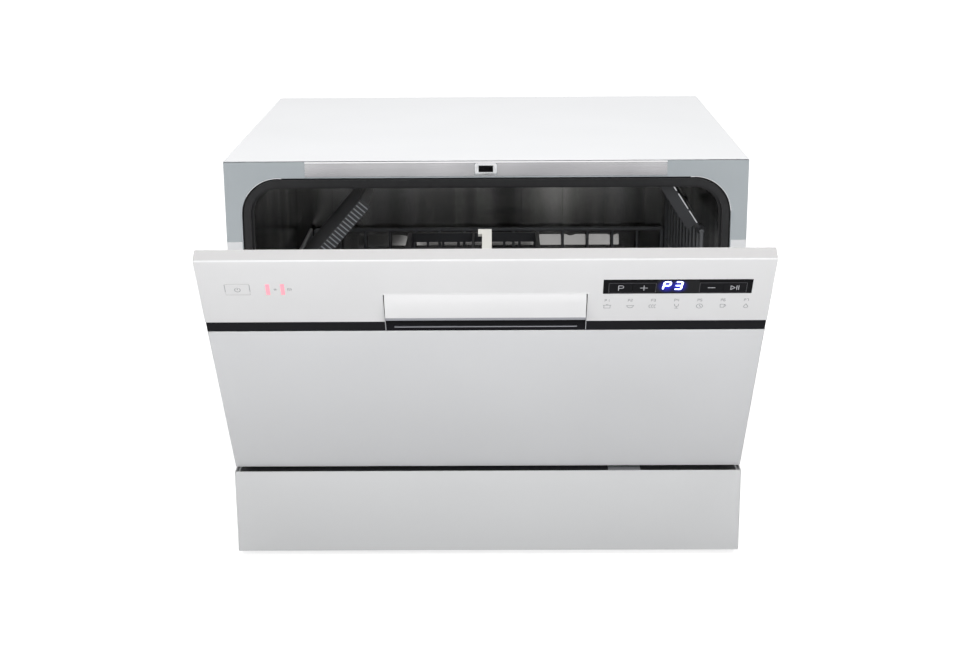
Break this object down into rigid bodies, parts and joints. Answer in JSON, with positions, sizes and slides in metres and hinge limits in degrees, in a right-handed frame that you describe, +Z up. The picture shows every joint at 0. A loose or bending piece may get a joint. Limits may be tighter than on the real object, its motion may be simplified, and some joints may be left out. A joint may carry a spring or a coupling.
{
  "type": "countertop dishwasher",
  "caption": "Compact countertop dishwasher with a drop-down door, controls on the door, a wheeled rack, cup shelves, a cutlery basket and a spray arm.",
  "frame": {"origin": "middle of the whole outline, door ajar, on the surface the feet stand on", "axes": "+X to the right seen from the front, +Y to the back, +Z up"},
  "size_m": [0.55, 0.6878, 0.438],
  "materials": {
    "white_enamel": "gloss",
    "zinc_sheet": "satin",
    "tub_steel": "satin",
    "bright_steel": "polished",
    "grey_enamel": "satin",
    "seal_rubber": "matt",
    "dark_plastic": "satin",
    "grey_plastic": "satin",
    "pale_plastic": "satin",
    "white_plastic": "gloss",
    "black_gloss": "gloss",
    "board": "satin",
    "red_lens": "gloss",
    "rack_wire": "satin"
  },
  "bodies": {
    "cabinet": {"top_panel": "white_enamel", "left_side_panel": "white_enamel", "right_side_panel": "white_enamel", "back_panel": "zinc_sheet", "base_tray": "dark_plastic", "plinth": "white_enamel", "tub_wrapper": "tub_steel", "tub_back": "tub_steel", "tub_floor": "tub_steel", "front_frame": "grey_enamel", "frame_trim": "bright_steel", "latch_strike": "bright_steel", "tub_gasket": "seal_rubber", "sill_seal": "seal_rubber", "sump": "grey_plastic", "filter_plate": "bright_steel", "circulation_pump": "dark_plastic", "drain_pump": "grey_plastic", "inlet_valve": "pale_plastic", "drain_outlet": "grey_plastic", "air_break": "pale_plastic", "softener_tank": "pale_plastic", "hinge_brackets": "zinc_sheet", "cable_gland": "seal_rubber", "panel_screws": "zinc_sheet", "rear_feet": "seal_rubber"},
    "front_foot_left": {"front_foot_left": "seal_rubber"},
    "front_foot_right": {"front_foot_right": "seal_rubber"},
    "spray_arm": {"spray_arm": "grey_plastic"},
    "filter_cup": {"filter_cup": "grey_plastic"},
    "softener_cap": {"softener_cap": "pale_plastic"},
    "door": {"door_panel": "white_enamel", "console": "white_plastic", "console_band": "black_gloss", "door_liner": "tub_steel", "dispenser_body": "pale_plastic", "hinge_arms": "zinc_sheet", "control_board": "board", "display_window": "black_gloss", "indicator_lenses": "red_lens", "latch_body": "grey_plastic"},
    "handle": {"handle_lever": "white_plastic", "handle_lip": "bright_steel"},
    "latch_hook": {"latch_hook": "pale_plastic"},
    "power_button": {"power_button": "white_plastic"},
    "programme_key": {"programme_key": "black_gloss"},
    "plus_key": {"plus_key": "black_gloss"},
    "minus_key": {"minus_key": "black_gloss"},
    "start_key": {"start_key": "black_gloss"},
    "dispenser_lid": {"dispenser_lid": "grey_plastic"},
    "rinse_cap": {"rinse_cap": "grey_plastic"},
    "rack": {"rack_floor": "rack_wire", "rack_walls": "rack_wire", "rack_tines": "rack_wire"},
    "folding_tines": {"folding_tines": "rack_wire"},
    "front_wheels": {"front_wheels": "grey_plastic"},
    "rear_wheels": {"rear_wheels": "grey_plastic"},
    "cup_shelf_left": {"cup_shelf_left": "dark_plastic"},
    "cup_shelf_right": {"cup_shelf_right": "dark_plastic"},
    "cutlery_basket": {"cutlery_basket": "dark_plastic"}
  },
  "joints": [
    {"name": "door_hinge", "type": "hinge", "parent": "cabinet", "child": "door", "pos_m": [0, -0.16009, 0.114], "axis": [1, 0, 0], "range_deg": [-33, 57]},
    {"name": "handle_pull", "type": "hinge", "parent": "door", "child": "handle", "pos_m": [0, -0.31186, 0.34036], "axis": [-1, 0, 0], "range_deg": [0, 8], "stiffness_Nm_per_rad": 2},
    {"name": "latch_release", "type": "hinge", "parent": "door", "child": "latch_hook", "pos_m": [0, -0.32509, 0.36807], "axis": [1, 0, 0], "range_deg": [0, 3.2]},
    {"name": "power_press", "type": "slide", "parent": "door", "child": "power_button", "axis": [0, 0.8387, 0.5446], "range_m": [0, 0.0012], "stiffness_N_per_m": 900},
    {"name": "programme_press", "type": "slide", "parent": "door", "child": "programme_key", "axis": [0, 0.8387, 0.5446], "range_m": [0, 0.0006], "stiffness_N_per_m": 1500},
    {"name": "plus_press", "type": "slide", "parent": "door", "child": "plus_key", "axis": [0, 0.8387, 0.5446], "range_m": [0, 0.0006], "stiffness_N_per_m": 1500},
    {"name": "minus_press", "type": "slide", "parent": "door", "child": "minus_key", "axis": [0, 0.8387, 0.5446], "range_m": [0, 0.0006], "stiffness_N_per_m": 1500},
    {"name": "start_press", "type": "slide", "parent": "door", "child": "start_key", "axis": [0, 0.8387, 0.5446], "range_m": [0, 0.0006], "stiffness_N_per_m": 1500},
    {"name": "dispenser_lid_hinge", "type": "hinge", "parent": "door", "child": "dispenser_lid", "pos_m": [0, -0.23924, 0.26507], "axis": [1, 0, 0], "range_deg": [0, 85]},
    {"name": "rinse_cap_turn", "type": "hinge", "parent": "door", "child": "rinse_cap", "pos_m": [0.112, -0.22188, 0.23484], "axis": [0, 0.8387, 0.5446], "range_deg": [0, 90]},
    {"name": "spray_arm_spin", "type": "hinge", "parent": "cabinet", "child": "spray_arm", "pos_m": [0, 0.0679, 0.137], "axis": [0, 0, 1], "continuous": true},
    {"name": "filter_turn", "type": "hinge", "parent": "cabinet", "child": "filter_cup", "pos_m": [0.095, 0.0329, 0.124], "axis": [0, 0, 1], "range_deg": [0, 90]},
    {"name": "salt_cap_turn", "type": "hinge", "parent": "cabinet", "child": "softener_cap", "pos_m": [-0.165, 0.1279, 0.124], "axis": [0, 0, 1], "range_deg": [0, 180]},
    {"name": "rack_slide", "type": "slide", "parent": "cabinet", "child": "rack", "axis": [0, -1, 0], "range_m": [0, 0.06]},
    {"name": "front_wheel_spin", "type": "hinge", "parent": "rack", "child": "front_wheels", "pos_m": [0, -0.06309, 0.1443], "axis": [1, 0, 0], "continuous": true},
    {"name": "rear_wheel_spin", "type": "hinge", "parent": "rack", "child": "rear_wheels", "pos_m": [0, 0.20891, 0.1443], "axis": [1, 0, 0], "continuous": true},
    {"name": "tine_fold", "type": "hinge", "parent": "rack", "child": "folding_tines", "pos_m": [0, 0.0359, 0.1674], "axis": [1, 0, 0], "range_deg": [0, 85]},
    {"name": "left_shelf_fold", "type": "hinge", "parent": "rack", "child": "cup_shelf_left", "pos_m": [-0.2335, 0, 0.273], "axis": [0, -1, 0], "range_deg": [0, 11]},
    {"name": "right_shelf_fold", "type": "hinge", "parent": "rack", "child": "cup_shelf_right", "pos_m": [0.2335, 0, 0.35], "axis": [0, 1, 0], "range_deg": [-50, 0]},
    {"name": "basket_lift", "type": "slide", "parent": "rack", "child": "cutlery_basket", "axis": [0, 0, 1], "range_m": [0, 0.09]},
    {"name": "left_foot_screw", "type": "slide", "parent": "cabinet", "child": "front_foot_left", "axis": [0, 0, 1], "range_m": [-0.008, 0]},
    {"name": "right_foot_screw", "type": "slide", "parent": "cabinet", "child": "front_foot_right", "axis": [0, 0, 1], "range_m": [-0.008, 0]}
  ],
  "couplings": [
    {"joint": "latch_release", "follows": "handle_pull", "ratio": 0.38}
  ]
}
